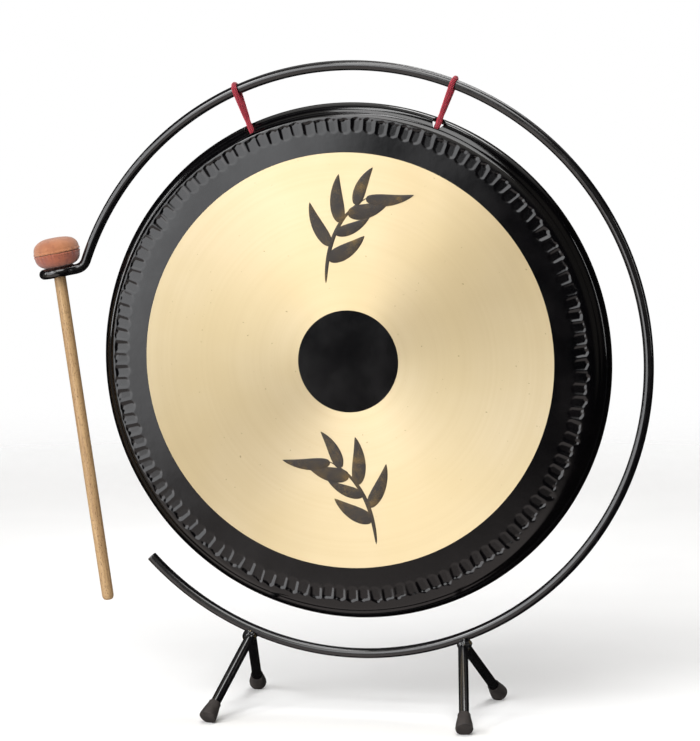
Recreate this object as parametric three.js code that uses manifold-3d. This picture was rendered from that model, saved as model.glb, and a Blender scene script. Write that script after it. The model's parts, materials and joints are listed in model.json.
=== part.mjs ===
// A 12 inch tam tam gong hung in an open ring stand of bent steel rod, with its mallet.
// Millimetres, +Z up, the struck face looks along -Y, and the floor is Z = 0.
import * as THREE from 'three';
import { mergeVertices } from 'three/addons/utils/BufferGeometryUtils.js';
import Module from 'manifold-3d';

const wasm = await Module();
wasm.setup();

// Clearance left between two pieces that touch on the real object.
const GAP = 0.3;

// Ring of the stand: one steel rod, open on the left. Angles run from +X towards +Z.
const ROD_R = 3;
const RING_R = 176.3;
const RING_X = 9.95; // puts the origin under the middle of the whole object, mallet included
const RING_Z = 212;
const RING_FREE_END = -136.3;
const RING_EYE_END = 160.9;

// Mallet eye: the rod's upper end, curled into a holder for the leaning mallet.
const EYE_FROM_RING = [-183.7, 50.1];
const LEAN = 8.2; // how far the mallet's stick leans from upright
const EYE_TILT = 3; // how much further the eye leans, and the head that rests on it
const EYE_R = 9.1;
const EYE_FROM = -38;
const EYE_TO = -322;
const NECK_PULL = 6.2; // how strongly each end of the neck holds its direction

// Legs: four rods that meet in pairs under the ring, each with a rubber cap.
const LEG_TOP_X = 66;
const LEG_TOP_Y = 3.4;
const LEG_DROP = 6.7; // from the ring's centreline down to the centre of a leg's rounded top
const LEG_SPLAY = 53; // from upright
const LEG_TOE_OUT = 12.5;
const LEFT_TWIST = 2.1; // the left pair was welded on turned a little, about upright
const CAP_R = 5.2;
const CAP_MOUTH_R = 3.75;
const CAP_LENGTH = 12;
const CAP_BASE = 3;
const CAP_TRIM = 0.8; // worn off the lowest edge, which leaves a flat to stand on

// Gong: one spun and hammered sheet. Its own frame has the face's centre at 0 and depth along +Y.
const GONG_X = -1.1; // from the ring's centre
const GONG_FACE_Y = -5.4; // so that the rim holes hang right under the ring
const GONG_Z = 211.5;
const SHEET = 1.2;
const FLAT_R = 141;
const FOLD = [149.5, 2.5];
const WIDEST = [154.7, 9.5];
const RIM_END = [150.7, 26];
const HOLE_R = 3.5;
const HOLE_ANGLE = 21.7; // each side of the gong's top
const HOLE_DEPTH = 5.4;

// Hanger cords: a loop over the ring whose two strands go through a rim hole to a knot.
const CORD_R = 1.5;
const LOOP_R = 5;
const LOOP_X = [-72.1, 59.5]; // from the ring's centre
const NECK_HALF = 1.2; // from the middle of the hole to each strand
const NECK_RISE = 2.2;
const KNOT_R = 3.6;
const KNOT_DROP = 7.4;
const KNOT_BACK = 2.4; // behind the hole, clear of the gong's face
const KNOT_GRIP = 1.5; // how far short of the knot's middle each strand ends

// Mallet, along the leaning axis, measured from the eye's plane.
const STICK_R = 3.65;
const STICK_BELOW = 202.1;
const STICK_IN_HEAD = 11;
const HEAD_SINK = 0.9; // how far the head's rounded underside drops into the eye
const HEAD_ASIDE = 1; // puts the head's middle on the stick
const HEAD_R = 14;
const HEAD_HEIGHT = 18.4;
const COVER = 1.2;
const HEAD_SQUARENESS = 2.8; // 2 is an ellipse, and higher is boxier
const SEAM_AT = 0.5; // of the head's height

// How finely round shapes are faceted.
const ROD_SIDES = 10;
const CORD_SIDES = 8;
const GONG_SIDES = 64;
const HEAD_SIDES = 20;

const BLACK_PAINT = material(0x141416, 0.28, 0.4);
const RUBBER = material(0x343233, 0.85, 0);
const BRONZE = material(0xd8c47e, 0.3, 0.9);
const RED_CORD = material(0xc81f36, 0.8, 0);
const PALE_WOOD = material(0xd2ab72, 0.6, 0);
const TAN_LEATHER = material(0xc07148, 0.65, 0);

function material(color, roughness, metalness) {
  return new THREE.MeshStandardMaterial({ color, roughness, metalness });
}

function rad(degrees) {
  return THREE.MathUtils.degToRad(degrees);
}

// A curve given by a function of t from 0 to 1.
class Route extends THREE.Curve {
  constructor(at) {
    super();
    this.at = at;
  }
  getPoint(t) {
    return this.at(t);
  }
}

// Turns a closed three.js geometry into a manifold solid with its faces pointing out.
function solid(geometry) {
  const bare = geometry.clone();
  bare.deleteAttribute('normal');
  bare.deleteAttribute('uv');
  const merged = mergeVertices(bare, 1e-4);
  const vertProperties = new Float32Array(merged.attributes.position.array);
  const index = merged.index.array;
  const corner = (i) => new THREE.Vector3().fromArray(vertProperties, 3 * i);
  const kept = [];
  let volume = 0;
  for (let i = 0; i < index.length; i += 3) {
    const [a, b, c] = index.slice(i, i + 3);
    if (a !== b && b !== c && c !== a) {
      kept.push([a, b, c]);
      volume += corner(a).dot(corner(b).cross(corner(c)));
    }
  }
  const facing = volume < 0 ? kept.map(([a, b, c]) => [a, c, b]) : kept;
  const triVerts = new Uint32Array(facing.flat());
  return new wasm.Manifold(new wasm.Mesh({ numProp: 3, vertProperties, triVerts }));
}

function named(name, body, look) {
  const { vertProperties, triVerts } = body.getMesh();
  const geometry = new THREE.BufferGeometry();
  geometry.setAttribute('position', new THREE.BufferAttribute(vertProperties, 3));
  geometry.setIndex(new THREE.BufferAttribute(triVerts, 1));
  geometry.computeVertexNormals();
  const mesh = new THREE.Mesh(geometry, look);
  mesh.name = name;
  return mesh;
}

function circle(radius, sides) {
  const corner = (_, i) => {
    const angle = (2 * Math.PI * i) / sides;
    return new THREE.Vector2(radius * Math.cos(angle), radius * Math.sin(angle));
  };
  return new THREE.Shape(Array.from({ length: sides }, corner));
}

function tube(route, radius, sides, steps) {
  const options = { extrudePath: route, steps, bevelEnabled: false };
  return solid(new THREE.ExtrudeGeometry(circle(radius, sides), options));
}

// A turned solid about Z. Points are [radius, height] and go from the axis back to the axis.
function turned(points, sides) {
  const profile = points.map(([r, z]) => new THREE.Vector2(r, z));
  return solid(new THREE.LatheGeometry(profile, sides).rotateX(Math.PI / 2));
}

// A cylinder from one point to another, for cutting.
function cutter(from, to, radius) {
  const along = to.clone().sub(from);
  const turn = new THREE.Quaternion().setFromUnitVectors(
    new THREE.Vector3(0, 1, 0),
    along.clone().normalize(),
  );
  const geometry = new THREE.CylinderGeometry(radius, radius, along.length(), 24);
  geometry.applyQuaternion(turn);
  const middle = from.clone().add(to).divideScalar(2);
  return solid(geometry.translate(middle.x, middle.y, middle.z));
}

function onRing(angle) {
  return new THREE.Vector3(RING_R * Math.cos(angle), 0, RING_Z + RING_R * Math.sin(angle));
}

function ringRoute(fromDegrees, toDegrees) {
  return new Route((t) => onRing(rad(fromDegrees + (toDegrees - fromDegrees) * t)));
}

// The stick's frame: origin at the eye's centre, +Z up the stick.
const holder = new THREE.Group();
holder.position.set(EYE_FROM_RING[0], 0, RING_Z + EYE_FROM_RING[1]);
holder.rotation.y = -rad(LEAN);
holder.updateMatrix();

// The eye's own frame, turned a little in the stick's. The head sits square on the eye.
const eyeFrame = new THREE.Group();
eyeFrame.rotation.y = -rad(EYE_TILT);
eyeFrame.updateMatrix();
holder.add(eyeFrame);

// The rod from the end of the ring, down the neck and round the eye, in the eye's frame.
function eyeSolid() {
  const toEye = holder.matrix.clone().multiply(eyeFrame.matrix).invert();
  const start = onRing(rad(RING_EYE_END)).applyMatrix4(toEye);
  const end = rad(RING_EYE_END);
  const heading = new THREE.Vector3(-Math.sin(end), 0, Math.cos(end)).transformDirection(toEye);
  const round = (degrees) => {
    const angle = rad(degrees);
    return new THREE.Vector3(EYE_R * Math.cos(angle), EYE_R * Math.sin(angle), 0);
  };
  const first = rad(EYE_FROM);
  const leaving = new THREE.Vector3(Math.sin(first), -Math.cos(first), 0);
  const path = new THREE.CurvePath();
  path.add(new THREE.CubicBezierCurve3(
    start.clone().addScaledVector(heading, GAP),
    start.clone().addScaledVector(heading, NECK_PULL),
    round(EYE_FROM).addScaledVector(leaving, -NECK_PULL),
    round(EYE_FROM),
  ));
  path.add(new Route((t) => round(EYE_FROM + (EYE_TO - EYE_FROM) * t)));
  return tube(path, ROD_R, ROD_SIDES, 36);
}

function ringFrame() {
  const rod = tube(ringRoute(RING_FREE_END, RING_EYE_END), ROD_R, ROD_SIDES, 80);
  return named('ring_frame', rod, BLACK_PAINT);
}

// A leg as its rounded top, the direction it runs in, and the centre of its cap's end.
function legLine(side, face) {
  const drop = RING_Z - Math.sqrt(RING_R ** 2 - LEG_TOP_X ** 2) - LEG_DROP;
  const top = new THREE.Vector3(side * LEG_TOP_X, face * LEG_TOP_Y, drop);
  const splay = rad(LEG_SPLAY);
  const toe = rad(side < 0 ? LEG_TOE_OUT - face * LEFT_TWIST : LEG_TOE_OUT);
  const down = new THREE.Vector3(
    side * Math.sin(splay) * Math.sin(toe),
    face * Math.sin(splay) * Math.cos(toe),
    -Math.cos(splay),
  );
  const length = (drop - CAP_R * Math.sin(splay) + CAP_TRIM) / Math.cos(splay);
  return { top, down, length };
}

// Stands a solid turned about Z on a leg's line, with its +Z pointing down the leg.
function alongLeg(body, { top, down }) {
  const place = new THREE.Matrix4().compose(
    top,
    new THREE.Quaternion().setFromUnitVectors(new THREE.Vector3(0, 0, 1), down),
    new THREE.Vector3(1, 1, 1),
  );
  return body.transform(place.elements);
}

function legSolid(leg, radius) {
  const foot = leg.length - CAP_BASE - GAP;
  const profile = [[0, -radius]];
  for (let degrees = -67.5; degrees <= 0; degrees += 22.5) {
    profile.push([radius * Math.cos(rad(degrees)), radius * Math.sin(rad(degrees))]);
  }
  profile.push([radius, foot], [0, foot]);
  return alongLeg(turned(profile, ROD_SIDES), leg);
}

// A rubber cap: a bell with a blind socket for the leg, worn flat where it stands.
function capSolid(leg) {
  const mouth = leg.length - CAP_LENGTH;
  const socket = ROD_R + GAP;
  const profile = [
    [0, leg.length],
    [CAP_R - 0.5, leg.length],
    [CAP_R, leg.length - 0.5],
    [CAP_R, leg.length - 3],
    [CAP_R - 0.4, leg.length - 6.5],
    [CAP_MOUTH_R, mouth],
    [socket, mouth],
    [socket, leg.length - CAP_BASE],
    [0, leg.length - CAP_BASE],
  ];
  const floor = new THREE.BoxGeometry(400, 400, 20).translate(0, 0, -10);
  return alongLeg(turned(profile, HEAD_SIDES), leg).subtract(solid(floor));
}

// The bead of weld that joins two leg tops to the underside of the ring.
function weldSolid(side) {
  const legs = [-1, 1].map((face) => legLine(side, face));
  const middle = legs[0].top.clone().setY(0).setZ(legs[0].top.z + 2.2);
  const blob = new THREE.SphereGeometry(1, 14, 10).scale(4.6, 5.4, 4.4);
  const bead = solid(blob.translate(middle.x, middle.y, middle.z));
  const under = Math.atan2(-Math.sqrt(RING_R ** 2 - LEG_TOP_X ** 2), side * LEG_TOP_X);
  const near = ringRoute(THREE.MathUtils.radToDeg(under) - 5, THREE.MathUtils.radToDeg(under) + 5);
  const cut = bead.subtract(tube(near, ROD_R + GAP, 2 * ROD_SIDES, 4));
  return legs.reduce((body, leg) => body.subtract(legSolid(leg, ROD_R + GAP)), cut);
}

function standPieces() {
  const pieces = [ringFrame()];
  for (const [side, hand] of [[-1, 'left'], [1, 'right']]) {
    pieces.push(named(`${hand}_leg_weld`, weldSolid(side), BLACK_PAINT));
    for (const [face, end] of [[-1, 'front'], [1, 'rear']]) {
      const leg = legLine(side, face);
      pieces.push(named(`${end}_${hand}_leg`, legSolid(leg, ROD_R), BLACK_PAINT));
      pieces.push(named(`${end}_${hand}_foot`, capSolid(leg), RUBBER));
    }
  }
  return pieces;
}

// The gong hangs level with the line through its two loops on the ring.
const loops = LOOP_X.map((x) => new THREE.Vector3(x, 0, RING_Z + Math.sqrt(RING_R ** 2 - x ** 2)));
const hang = Math.atan2(loops[1].z - loops[0].z, loops[1].x - loops[0].x);
const gongFrame = new THREE.Group();
gongFrame.position.set(GONG_X, GONG_FACE_Y, GONG_Z);
gongFrame.rotation.y = -hang;
gongFrame.updateMatrix();

// The gong's outer face from its centre to the end of its rim, as [radius, depth].
function gongOutline() {
  const outline = new THREE.Path();
  outline.moveTo(0, 0);
  outline.lineTo(FLAT_R, 0);
  outline.quadraticCurveTo(FLAT_R + 5.5, 0.3, ...FOLD);
  outline.bezierCurveTo(FOLD[0] + 2.8, FOLD[1] + 1.4, WIDEST[0], WIDEST[1] - 3.4, ...WIDEST);
  outline.quadraticCurveTo(WIDEST[0] - 0.3, WIDEST[1] + 9, ...RIM_END);
  const points = outline.getPoints(4);
  return points.filter((p, i) => i === 0 || p.distanceTo(points[i - 1]) > 0.01);
}

// The same outline moved one sheet's thickness inwards.
function inset(points) {
  return points.map((p, i) => {
    const before = points[Math.max(i - 1, 0)];
    const after = points[Math.min(i + 1, points.length - 1)];
    const along = after.clone().sub(before).normalize();
    const moved = new THREE.Vector2(-along.y, along.x).multiplyScalar(SHEET).add(p);
    return i === 0 ? new THREE.Vector2(0, SHEET) : moved;
  });
}

function holeCentre(side) {
  const rim = gongOutline();
  const after = rim.findIndex((p) => p.y > HOLE_DEPTH);
  const part = (HOLE_DEPTH - rim[after - 1].y) / (rim[after].y - rim[after - 1].y);
  const radius = rim[after - 1].clone().lerp(rim[after], part).x - SHEET / 2;
  const angle = rad(HOLE_ANGLE);
  return new THREE.Vector3(side * radius * Math.sin(angle), HOLE_DEPTH, radius * Math.cos(angle));
}

function gongDisc() {
  const outside = gongOutline();
  const profile = [...outside, ...inset(outside).reverse()];
  const sheet = solid(new THREE.LatheGeometry(profile, GONG_SIDES));
  const drilled = [-1, 1].reduce((body, side) => {
    const hole = holeCentre(side);
    const out = hole.clone().setY(0).normalize().multiplyScalar(9);
    return body.subtract(cutter(hole.clone().sub(out), hole.clone().add(out), HOLE_R));
  }, sheet);
  return named('gong_disc', drilled, BRONZE);
}

// One strand of a hanger, from inside the knot, up through the hole and over the top of the rod.
function strandRoute(hole, up, rise, face) {
  const low = KNOT_GRIP - KNOT_DROP;
  const straight = rise - low;
  const past = 0.15; // radians beyond the top, so that the two strands run into each other
  const whole = straight + LOOP_R * (Math.PI / 2 + past);
  return new Route((t) => {
    const run = t * whole;
    const height = low + Math.min(run, straight);
    const turn = Math.max(run - straight, 0) / LOOP_R;
    const spread = THREE.MathUtils.smoothstep(height, NECK_RISE, rise);
    const out = (NECK_HALF + (LOOP_R - NECK_HALF) * spread) * Math.cos(turn);
    const point = hole.clone().addScaledVector(up, height + LOOP_R * Math.sin(turn));
    return point.setY(point.y + face * out);
  });
}

function hangerCord(name, side, loop) {
  const hole = holeCentre(side).applyMatrix4(gongFrame.matrix);
  const up = loop.clone().sub(hole);
  const rise = up.length();
  up.normalize();
  const strands = [-1, 1].map((face) => tube(strandRoute(hole, up, rise, face), CORD_R, CORD_SIDES, 20));
  const centre = hole.clone().addScaledVector(up, -KNOT_DROP);
  centre.y += KNOT_BACK;
  const ball = new THREE.SphereGeometry(KNOT_R, 12, 8).translate(centre.x, centre.y, centre.z);
  return named(name, strands[0].add(strands[1]).add(solid(ball)), RED_CORD);
}

// The head's radius at a height above its underside, with everything moved in by the inset.
function headRadius(height, inwards) {
  const half = HEAD_HEIGHT / 2;
  const at = Math.min(Math.abs(height - half) / (half - inwards), 1);
  return (HEAD_R - inwards) * (1 - at ** HEAD_SQUARENESS) ** (1 / HEAD_SQUARENESS);
}

// Points [radius, height] down the head's side between two heights, both above its underside.
function headSide(from, to, inwards, steps) {
  const half = HEAD_HEIGHT / 2;
  const toAngle = (height) => Math.acos(THREE.MathUtils.clamp((height - half) / (half - inwards), -1, 1));
  return Array.from({ length: steps + 1 }, (_, i) => {
    const angle = THREE.MathUtils.lerp(toAngle(from), toAngle(to), i / steps);
    const height = half + (half - inwards) * Math.cos(angle);
    return [headRadius(height, inwards), height];
  });
}

function stickSolid() {
  const tip = -STICK_BELOW;
  const top = ROD_R + STICK_IN_HEAD;
  const end = [[0, tip], [2.3, tip + 0.3], [3.2, tip + 1.3], [STICK_R, tip + 3]];
  return turned([...end, [STICK_R, top], [0, top]], HEAD_SIDES);
}

// One half of the head's cover, from the top or the underside of the head to the edge at its seam.
function coverSolid(height, innerHeight, edge) {
  const outside = headSide(height, edge, 0, 6).slice(1);
  const inside = headSide(innerHeight, edge, COVER, 6).slice(1).reverse();
  return turned([[0, height], ...outside, ...inside, [0, innerHeight]], HEAD_SIDES);
}

// The head in the eye's frame, resting on the eye and bored for the stick that slants up into it.
function headPieces() {
  const under = ROD_R + GAP - HEAD_SINK;
  const seam = SEAM_AT * HEAD_HEIGHT;
  const inner = COVER + GAP;
  const way = new THREE.Vector3(Math.sin(rad(EYE_TILT)), 0, Math.cos(rad(EYE_TILT)));
  const socket = way.clone().multiplyScalar(ROD_R + STICK_IN_HEAD + GAP);
  const bore = cutter(way.clone().multiplyScalar(-ROD_R), socket, STICK_R + GAP);

  const side = headSide(HEAD_HEIGHT - inner, inner, inner, 10).slice(1, -1);
  const core = turned([[0, HEAD_HEIGHT - inner], ...side, [0, inner]], HEAD_SIDES);
  const upper = coverSolid(HEAD_HEIGHT, HEAD_HEIGHT - COVER, seam + GAP / 2);
  const lower = coverSolid(0, COVER, seam - GAP / 2);
  const raised = (body) => body.translate([HEAD_ASIDE, 0, under]);
  return [
    named('mallet_head_core', raised(core).subtract(bore), PALE_WOOD),
    named('mallet_upper_cover', raised(upper), TAN_LEATHER),
    named('mallet_lower_cover', raised(lower).subtract(bore), TAN_LEATHER),
  ];
}

holder.add(named('mallet_stick', stickSolid(), PALE_WOOD));
eyeFrame.add(named('mallet_eye', eyeSolid(), BLACK_PAINT), ...headPieces());
gongFrame.add(gongDisc());

const gongOnStand = new THREE.Group();
gongOnStand.position.x = RING_X;
gongOnStand.add(...standPieces(), holder, gongFrame);
gongOnStand.add(hangerCord('left_hanger_cord', -1, loops[0]));
gongOnStand.add(hangerCord('right_hanger_cord', 1, loops[1]));

export default gongOnStand;
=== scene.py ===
"""The finished surfaces of a tam tam gong in an open ring stand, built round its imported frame.

Metres, +Z up, and the struck face looks along -Y. Every piece takes its place from the frame."""
import json
import math

import bpy
import numpy as np
from mathutils import Matrix, Vector, noise

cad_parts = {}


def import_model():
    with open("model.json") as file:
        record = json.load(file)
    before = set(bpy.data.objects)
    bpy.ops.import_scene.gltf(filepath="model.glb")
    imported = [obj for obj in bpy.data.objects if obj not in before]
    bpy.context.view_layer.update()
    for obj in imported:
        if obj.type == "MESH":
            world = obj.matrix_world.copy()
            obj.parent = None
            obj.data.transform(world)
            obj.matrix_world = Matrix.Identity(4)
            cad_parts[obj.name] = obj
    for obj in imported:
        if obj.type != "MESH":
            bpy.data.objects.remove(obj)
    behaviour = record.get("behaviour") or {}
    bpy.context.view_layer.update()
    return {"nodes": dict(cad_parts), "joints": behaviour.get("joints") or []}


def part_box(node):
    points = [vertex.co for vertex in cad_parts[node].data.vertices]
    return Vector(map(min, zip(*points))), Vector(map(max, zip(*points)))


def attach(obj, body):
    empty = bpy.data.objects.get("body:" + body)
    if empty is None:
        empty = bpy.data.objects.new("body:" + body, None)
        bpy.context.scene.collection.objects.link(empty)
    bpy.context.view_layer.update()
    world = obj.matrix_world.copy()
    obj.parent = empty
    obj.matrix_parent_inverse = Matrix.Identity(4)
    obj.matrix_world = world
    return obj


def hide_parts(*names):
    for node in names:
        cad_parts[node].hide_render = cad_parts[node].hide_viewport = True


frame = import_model()

MM = 0.001
TURN = 2 * math.pi

# The stand's rod, as angles on the ring from +X towards +Z.
ROD_R = 3 * MM
RING_FREE_END = math.radians(-136.3)
RING_EYE_END = math.radians(160.9)

# The mallet eye, in its own frame, which leans a little further than the stick.
EYE_TILT = math.radians(3)
EYE_R = 9.1 * MM
EYE_FROM = math.radians(-38)
EYE_TO = math.radians(-322)
NECK_PULL = 6.2 * MM
STICK_BELOW_EYE = 202.1 * MM
STICK_TOP = 14 * MM

# Rubber caps, measured back from the end of the leg's line.
CAP_R = 5.2 * MM
CAP_LENGTH = 12 * MM
CAP_BASE = 3 * MM
CAP_GAP = 0.3 * MM

# The gong's outline as radius and depth behind its face.
FLAT_R = 144.5 * MM
FOLD = (149.4 * MM, 2.1 * MM)
WIDEST = (154.7 * MM, 9.5 * MM)
RIM_END = (150.7 * MM, 26 * MM)
SHEET = 1.2 * MM
HOLE_OUT = 153 * MM
HOLE_R = 3.6 * MM

# The lathe's centre lay a little left of and above the rim's, seen along the gong's own right and up.
LATHE_RIGHT = -2.2 * MM
LATHE_UP = 1.33 * MM
BRASS_R = 124.4 * MM
DOT_R = 30.56 * MM
BAND_IN = 135.7 * MM
BAND_OUT = 144.9 * MM
MARKS = 120
COLUMNS = 12 * MARKS

# Hanger cords.
CORD_R = 1.5 * MM
LOOP_R = 4.5 * MM
LOOP_TOP = 3.6 * MM  # the cord's centre over the ring's, before the cord is pressed flat
NECK_HALF = 1.3 * MM
NECK_RISE = 2.2 * MM
KNOT_DROP = 7.4 * MM
KNOT_BACK = 2.4 * MM
SPLAY = 0.5 * MM  # how far each strand steps aside at the hole
RING_CLEAR = 0.3 * MM  # room to swing round the ring without touching it

# Mallet.
STICK_R = 3.65 * MM
HEAD_BASE = 2.4 * MM
HEAD_ASIDE = 1 * MM
HEAD_R = 14 * MM
HEAD_HEIGHT = 18.4 * MM
HEAD_SQUARENESS = 2.8
COVER = 1.2 * MM
SEAM_GAP = 0.3 * MM


# ---------------------------------------------------------------- places from the frame

def corners(node):
    return np.array([v.co for v in frame["nodes"][node].data.vertices])


def long_axis(node):
    """A turned node's upper end on its own axis, the direction down that axis, and its length."""
    points = corners(node)
    middle = points.mean(0)
    direction = np.linalg.eigh(np.cov((points - middle).T))[1][:, -1]
    if direction[2] > 0:
        direction = -direction
    along = (points - middle) @ direction
    return middle + direction * along.min(), direction, along.max() - along.min()


def ring_circle():
    """Centre and radius of the ring's centreline, fitted to the ring's corners."""
    points = corners("ring_frame")
    x, z = points[:, 0], points[:, 2]
    columns = np.stack([2 * x, 2 * z, np.ones_like(x)], 1)
    a, b, c = np.linalg.lstsq(columns, x * x + z * z, rcond=None)[0]
    radius = math.sqrt(c + a * a + b * b - ROD_R ** 2 / 2)
    return np.array([a, 0, b]), radius


def axis_meets(joint_name, centre, radius):
    """The two points where a joint's axis meets a circle that faces -Y, from left to right."""
    joint = next(j for j in frame["joints"] if j["name"] == joint_name)
    start = np.array(joint["pos_m"], float)
    along = np.array(joint["axis"], float)
    along /= np.linalg.norm(along)
    to_start = (start - centre) * [1, 0, 1]
    middle = -to_start @ along
    reach = math.sqrt(middle ** 2 - to_start @ to_start + radius ** 2)
    return [start + along * (middle - reach), start + along * (middle + reach)]


RING_CENTRE, RING_R = ring_circle()
GONG_LOW, GONG_HIGH = (np.array(corner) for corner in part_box("gong_disc"))
GONG = np.array([(GONG_LOW[0] + GONG_HIGH[0]) / 2, GONG_LOW[1], (GONG_LOW[2] + GONG_HIGH[2]) / 2])
LOOPS = axis_meets("hanger_swing", RING_CENTRE, RING_R)
HOLES = axis_meets("gong_rock", GONG, HOLE_OUT)
GONG_TILT = math.atan2(LOOPS[1][2] - LOOPS[0][2], LOOPS[1][0] - LOOPS[0][0])

mallet_top, mallet_down, _ = long_axis("mallet_stick")
MALLET_UP = -mallet_down
MALLET_SIDE = np.cross([0, 1, 0], MALLET_UP)
EYE = mallet_top + mallet_down * STICK_TOP


def in_holder(x, y, z, tilt=0.0):
    """A point given in the stick's frame, or in that frame leaned further by a tilt."""
    x, y, z = (np.asarray(value)[..., None] for value in (x, y, z))
    side = MALLET_SIDE * math.cos(tilt) + MALLET_UP * math.sin(tilt)
    up = MALLET_UP * math.cos(tilt) - MALLET_SIDE * math.sin(tilt)
    return EYE + x * side + y * np.array([0, 1, 0]) + z * up


def on_eye(x, y, z):
    """A point given in the eye's own frame."""
    return in_holder(x, y, z, EYE_TILT)


def on_head(x, y, z):
    """The same from the head's underside, where the outside sits a little aside from the stick's hole."""
    aside = HEAD_ASIDE * smooth(np.hypot(x, y), STICK_R, HEAD_R - 3 * MM)
    return on_eye(x + aside, y, z + HEAD_BASE)


# ---------------------------------------------------------------- curves

def bezier(points, t):
    """A point on a Bezier curve of any degree, for each t."""
    t = np.asarray(t)[..., None]
    rows = [np.asarray(p, float) for p in points]
    while len(rows) > 1:
        rows = [a + (b - a) * t for a, b in zip(rows, rows[1:])]
    return rows[0]


def run_of(path):
    """Distance along a path of points, at each point."""
    steps = np.linalg.norm(np.diff(path, axis=0), axis=1)
    return np.concatenate([[0], np.cumsum(steps)])


def resampled(path, stations):
    run = run_of(path)
    return np.stack([np.interp(stations, run, path[:, k]) for k in range(3)], 1)


def frames_along(path):
    """Two directions across the path at each point, which turn with it and don't twist."""
    ahead = np.gradient(path, axis=0)
    ahead /= np.linalg.norm(ahead, axis=1, keepdims=True)
    first = np.cross(ahead[0], [0, 1, 0] if abs(ahead[0][1]) < 0.9 else [1, 0, 0])
    across = [first / np.linalg.norm(first)]
    for direction in ahead[1:]:
        side = across[-1] - direction * (across[-1] @ direction)
        across.append(side / np.linalg.norm(side))
    across = np.array(across)
    return across, np.cross(ahead, across)


def smooth(value, low, high):
    t = np.clip((np.asarray(value, float) - low) / (high - low), 0, 1)
    return t * t * (3 - 2 * t)


def wobble(angle, waves, seed, falling=1.0):
    """A closed ripple round a circle, about -1 to 1, made of waves with random phases."""
    random = np.random.default_rng(seed)
    total = sum(
        np.sin(count * angle + random.uniform(0, TURN)) * random.uniform(0.4, 1) / count ** falling
        for count in waves
    )
    return total / sum(0.7 / count ** falling for count in waves) / 2


# ---------------------------------------------------------------- meshes

def skin(name, rings, along=None, relief=None, looped=False):
    """A closed skin through rings of points, rows by sides. Ends are fans, unless the rows loop.

    along gives each row's place lengthwise for the UV map, and relief a value for each point."""
    rows, sides = rings.shape[:2]
    along = np.linspace(0, 1, rows) if along is None else np.asarray(along)
    index = np.arange(rows * sides).reshape(rows, sides)
    near = index if looped else index[:-1]
    far = np.roll(index, -1, axis=0) if looped else index[1:]
    quads = np.stack([near, np.roll(near, -1, 1), np.roll(far, -1, 1), far], -1).reshape(-1, 4)
    around = np.broadcast_to(np.arange(sides) / sides, near.shape)
    low = np.broadcast_to((along if looped else along[:-1])[:, None], near.shape)
    high = np.broadcast_to(np.roll(along, -1)[:len(near), None], near.shape)
    step = 1 / sides
    uv = np.stack([around, low, around + step, low, around + step, high, around, high], -1).reshape(-1, 2)
    points = rings.reshape(-1, 3)
    faces = quads.tolist()
    if not looped:
        points = np.concatenate([points, [rings[0].mean(0), rings[-1].mean(0)]])
        count = rows * sides
        first = index[0]
        last = index[-1]
        fans = np.concatenate([
            np.stack([np.full(sides, count), np.roll(first, -1), first], -1),
            np.stack([np.full(sides, count + 1), last, np.roll(last, -1)], -1),
        ])
        faces += fans.tolist()
        turns = np.arange(sides) / sides
        start_uv = np.stack([turns, turns * 0 + along[0]] * 3, -1).reshape(-1, 2)
        end_uv = np.stack([turns, turns * 0 + along[-1]] * 3, -1).reshape(-1, 2)
        uv = np.concatenate([uv, start_uv, end_uv])
    mesh = bpy.data.meshes.new(name)
    mesh.from_pydata(points.tolist(), [], faces)
    mesh.uv_layers.new(name="UVMap").data.foreach_set("uv", uv.astype(np.float32).ravel())
    a, b, c, d = (points[quads[:, k]] for k in range(4))
    volume = np.einsum("ij,ij->", a, np.cross(b, c)) + np.einsum("ij,ij->", a, np.cross(c, d))
    if volume < 0:
        mesh.flip_normals()
    if relief is not None:
        values = np.zeros(len(points), np.float32)
        values[:rows * sides] = np.asarray(relief).ravel()
        mesh.attributes.new("relief", "FLOAT", "POINT").data.foreach_set("value", values)
    mesh.shade_smooth()
    mesh.set_sharp_from_angle(angle=math.radians(50))
    made = bpy.data.objects.new(name, mesh)
    bpy.context.scene.collection.objects.link(made)
    return made


def rod(name, path, radius, sides, step, rounding, relief=None, settle=None):
    """A round rod along a path, with its ends rounded over; relief(around, run) adds to its radius.

    settle(points) moves the skin's points off whatever the rod lies on."""
    length = run_of(path)[-1]
    quarter = np.linspace(0, math.pi / 2, 6)
    end_run = rounding * (1 - np.cos(quarter))
    end_radius = radius - rounding + rounding * np.sin(quarter)
    middle = np.arange(rounding + step, length - rounding - step / 2, step)
    stations = np.concatenate([end_run, middle, length - end_run[::-1]])
    radii = np.concatenate([end_radius, np.full(len(middle), radius), end_radius[::-1]])
    centres = resampled(path, stations)
    across, other = frames_along(centres)
    turn = np.arange(sides) / sides
    height = np.zeros((len(stations), sides))
    if relief is not None:
        height = relief(turn[None, :], stations[:, None])
    reach = (radii[:, None] + height * (radii / radius)[:, None])[..., None]
    angle = (TURN * turn)[None, :, None]
    rings = centres[:, None] + reach * (across[:, None] * np.cos(angle) + other[:, None] * np.sin(angle))
    if settle is not None:
        rings = settle(rings)
    return skin(name, rings, along=stations, relief=height if relief is not None else None)


def turned(name, profile, place, sides, shape=None, looped=False, relief=None):
    """A turned skin. place(x, y, z) puts a point of its own frame, and shape(angle, r, z) bends it."""
    angle = np.arange(sides) * TURN / sides
    r = np.repeat(profile[:, :1], sides, 1)
    z = np.repeat(profile[:, 1:2], sides, 1)
    if shape is not None:
        r, z = shape(angle[None, :], r, z)
    rings = place(r * np.cos(angle), r * np.sin(angle), z)
    along = run_of(np.column_stack([profile, profile[:, 0] * 0]))
    return skin(name, rings, along=along, looped=looped, relief=relief)


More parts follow.
